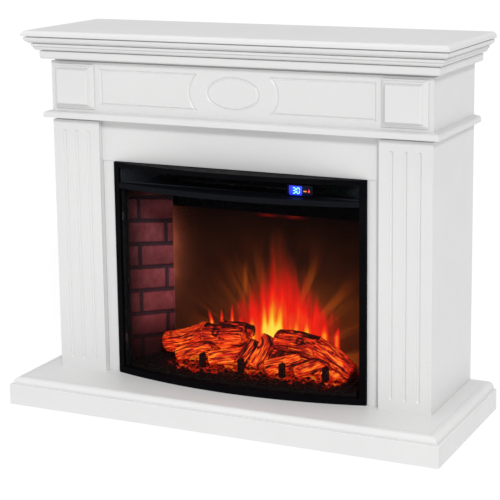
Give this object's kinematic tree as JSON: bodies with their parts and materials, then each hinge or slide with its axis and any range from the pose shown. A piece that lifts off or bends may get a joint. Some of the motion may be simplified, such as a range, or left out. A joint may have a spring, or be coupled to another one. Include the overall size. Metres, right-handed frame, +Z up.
{
  "type": "electric fireplace suite",
  "caption": "White mantel surround on a hearth around a bow-fronted electric firebox with a log fire, flame rotor, fan heater and small display.",
  "frame": {"origin": "middle of the floor rectangle that the suite stands on", "axes": "+X to the viewer's right when facing the fire, +Y from the front to the wall behind, +Z up"},
  "size_m": [1.3, 0.504, 1.07],
  "materials": {
    "white_board": "satin white paint on fibreboard",
    "pine": "bare softwood",
    "black_sheet": "satin black paint",
    "sheet_steel": "galvanised sheet",
    "clear_glass": "clear, polished",
    "display_cover": "polished, dark blue",
    "display_block": "backlit blue",
    "circuit_board": "green solder mask",
    "brick_print": "moulded brick, matt",
    "flame_film": "translucent screen",
    "bright_strip": "polished reflector strip",
    "motor_case": "satin dark paint",
    "log_resin": "translucent cast resin, bark relief",
    "ember_resin": "translucent cast resin",
    "grate_black": "matt black",
    "bush": "sintered bush",
    "heater_ceramic": "unglazed ceramic",
    "black_plastic": "matt black",
    "red_plastic": "gloss red"
  },
  "bodies": {
    "suite": {"mantel_shelf": "white_board", "crown_front": "white_board", "crown_left": "white_board", "crown_right": "white_board", "frieze_board": "white_board", "corner_block_left": "white_board", "corner_block_right": "white_board", "side_panel_left": "white_board", "side_panel_right": "white_board", "waist_front": "white_board", "waist_left": "white_board", "waist_right": "white_board", "header_board": "white_board", "pilaster_left": "white_board", "pilaster_right": "white_board", "jamb_left": "white_board", "jamb_right": "white_board", "hearth_board": "white_board", "plinth_front": "white_board", "plinth_left": "white_board", "plinth_right": "white_board", "plinth_back": "white_board", "back_rail": "white_board", "corner_braces": "pine", "front_frame": "black_sheet", "mid_rail": "black_sheet", "air_grille": "black_sheet", "front_glass": "clear_glass", "glass_clips": "sheet_steel", "display_window": "display_cover", "display_module": "display_block", "control_board": "circuit_board", "cabinet_top": "sheet_steel", "cabinet_side_left": "sheet_steel", "cabinet_side_right": "sheet_steel", "cabinet_floor": "sheet_steel", "rear_cover": "sheet_steel", "rear_cover_screws": "sheet_steel", "brick_panel_left": "brick_print", "brick_panel_right": "brick_print", "firebox_ceiling": "black_sheet", "flame_screen": "flame_film", "rotor_motor": "motor_case", "rotor_bearings": "sheet_steel", "flame_led_board": "circuit_board", "log_set": "log_resin", "ember_bed": "ember_resin", "grate_fingers": "grate_black", "ember_led_board": "circuit_board", "fan_housing": "black_sheet", "fan_motor": "motor_case", "fan_bearing": "bush", "heating_element": "heater_ceramic", "cable_gland": "black_plastic", "switch_body": "black_plastic", "mounting_brackets": "sheet_steel"},
    "flame_rotor": {"flame_rotor": "bright_strip"},
    "fan_impeller": {"fan_impeller": "bright_strip"},
    "switch_rocker": {"switch_rocker": "red_plastic"}
  },
  "joints": [
    {"name": "flame_rotor_spin", "type": "hinge", "parent": "suite", "child": "flame_rotor", "pos_m": [0, 0.19, 0.15], "axis": [1, 0, 0], "continuous": true},
    {"name": "fan_spin", "type": "hinge", "parent": "suite", "child": "fan_impeller", "pos_m": [-0.02, 0.01, 0.66], "axis": [1, 0, 0], "continuous": true},
    {"name": "power_switch", "type": "hinge", "parent": "suite", "child": "switch_rocker", "pos_m": [-0.18, 0.232, 0.18], "axis": [1, 0, 0], "range_deg": [-20, 0]}
  ]
}
